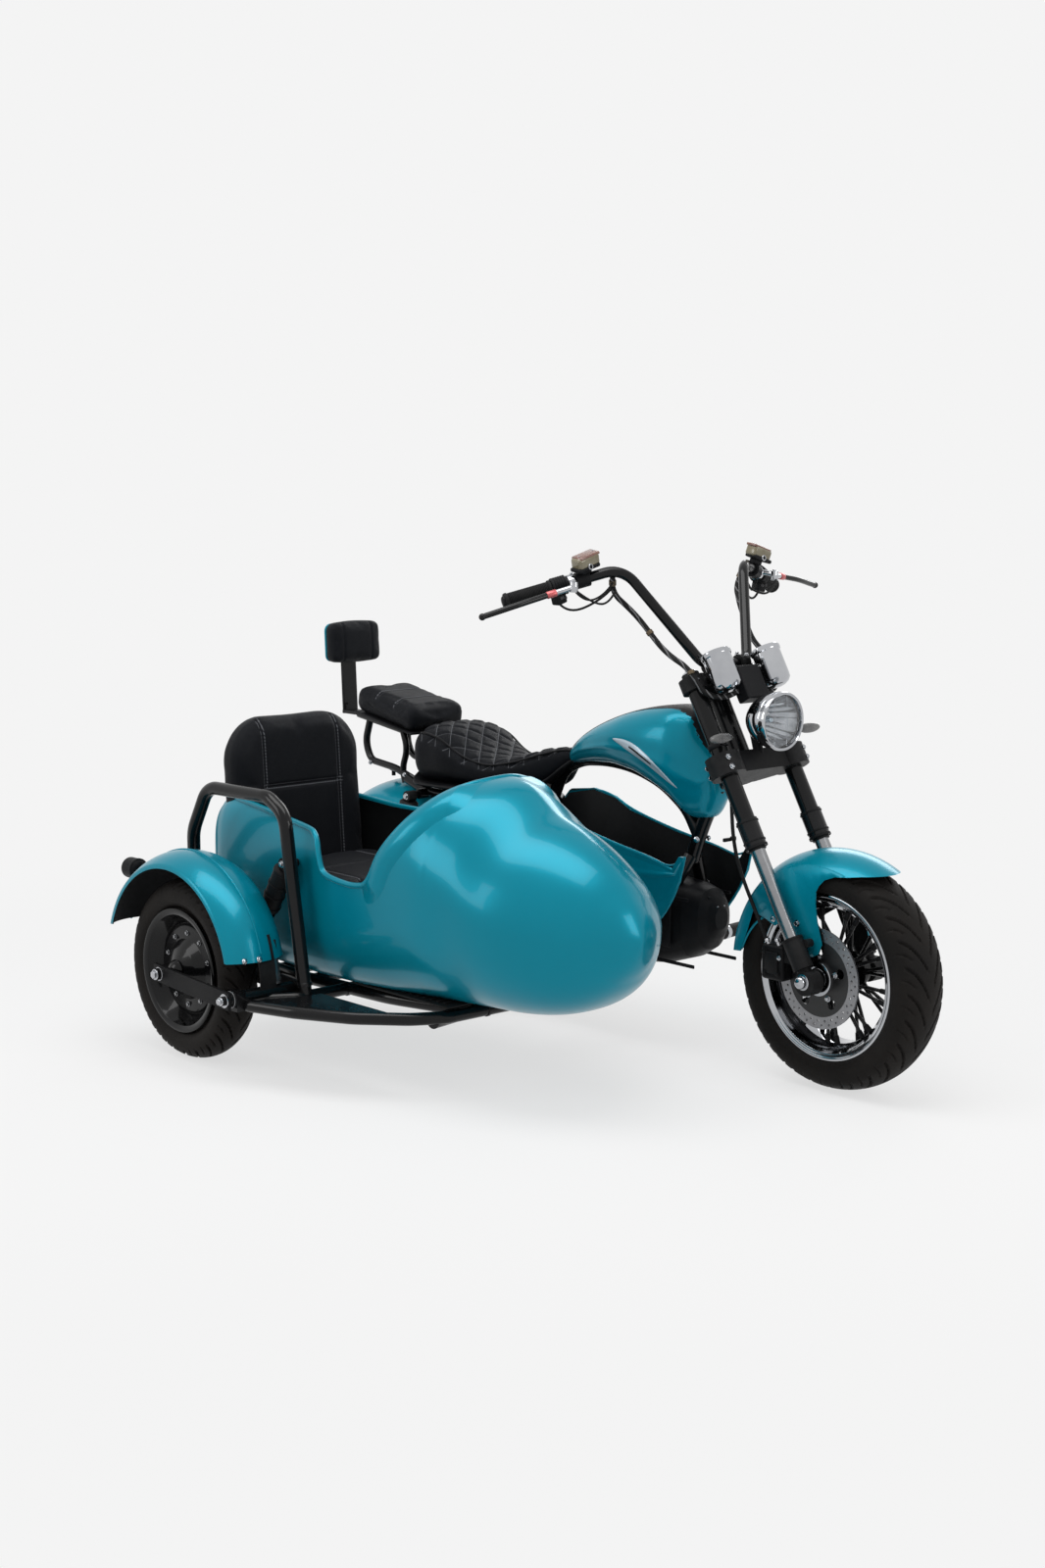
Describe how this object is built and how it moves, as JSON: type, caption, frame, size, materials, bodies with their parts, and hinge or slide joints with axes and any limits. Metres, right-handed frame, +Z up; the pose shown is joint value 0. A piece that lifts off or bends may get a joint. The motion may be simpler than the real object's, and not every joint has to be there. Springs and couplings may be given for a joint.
{
  "type": "sidecar motorcycle",
  "caption": "Chopper-style electric motorcycle with high handlebars and a single-seat sidecar on its right, on three turning wheels, with a steering fork.",
  "frame": {"origin": "on the ground under the middle of the whole vehicle's box", "axes": "+X forward, +Y to the rider's left, +Z up"},
  "size_m": [1.9239, 1.492, 1.1263],
  "materials": {
    "teal_paint": "gloss",
    "black_paint": "gloss",
    "black_cast": "satin",
    "chrome": "polished",
    "bright_steel": "satin",
    "tyre": "matte",
    "black_leather": "satin",
    "black_plastic": "matte",
    "grip_rubber": "matte",
    "lamp_glass": "gloss",
    "amber_plastic": "gloss"
  },
  "bodies": {
    "chassis": {"bike_frame": "black_paint", "tank": "teal_paint", "battery_box": "black_plastic", "side_fairings": "teal_paint", "rider_seat": "black_leather", "pillion_pad": "black_leather", "backrest_pad": "black_leather", "pillion_rack": "black_paint", "rear_fender": "teal_paint", "rear_swing_arm": "black_paint", "rear_shocks": "black_cast", "rear_lamps": "black_plastic", "footpegs": "grip_rubber", "sidecar_hull": "teal_paint", "sidecar_cushion": "black_leather", "sidecar_seat_back": "black_leather", "sidecar_frame": "black_paint", "platform_plate": "black_paint", "grab_hoop": "black_paint", "sidecar_fender": "teal_paint", "sidecar_fender_stays": "black_cast", "sidecar_swing_arm": "black_cast", "sidecar_shock": "black_cast"},
    "fork": {"fork_clamps": "black_cast", "fork_tubes": "black_paint", "fork_stanchions": "bright_steel", "fork_lugs": "black_cast", "front_axle": "bright_steel", "front_fender": "teal_paint", "headlamp": "chrome", "headlamp_lens": "lamp_glass", "gauge_pods": "chrome", "gauge_glasses": "lamp_glass", "turn_signals": "black_plastic", "control_box": "black_plastic", "handlebar": "black_paint", "grips": "grip_rubber", "switch_housings": "black_plastic", "brake_levers": "chrome", "brake_reservoirs": "amber_plastic", "brake_caliper": "black_cast", "brake_hose": "grip_rubber", "bar_cables": "grip_rubber"},
    "front_wheel": {"front_tyre": "tyre", "front_rim": "chrome", "front_hub": "black_paint", "brake_disc": "bright_steel"},
    "rear_wheel": {"rear_tyre": "tyre", "rear_rim": "black_cast"},
    "sidecar_wheel": {"sidecar_tyre": "tyre", "sidecar_rim": "black_cast"}
  },
  "joints": [
    {"name": "steering", "type": "hinge", "parent": "chassis", "child": "fork", "pos_m": [0.38971, 0.229, 0.72394], "axis": [-0.497, 0, 0.8678], "range_deg": [-35, 35]},
    {"name": "front_wheel_spin", "type": "hinge", "parent": "fork", "child": "front_wheel", "pos_m": [0.717, 0.229, 0.243], "axis": [0, 1, 0], "continuous": true},
    {"name": "rear_wheel_spin", "type": "hinge", "parent": "chassis", "child": "rear_wheel", "pos_m": [-0.673, 0.229, 0.238], "axis": [0, 1, 0], "continuous": true},
    {"name": "sidecar_wheel_spin", "type": "hinge", "parent": "chassis", "child": "sidecar_wheel", "pos_m": [-0.394, -0.637, 0.199], "axis": [0, 1, 0], "continuous": true}
  ]
}
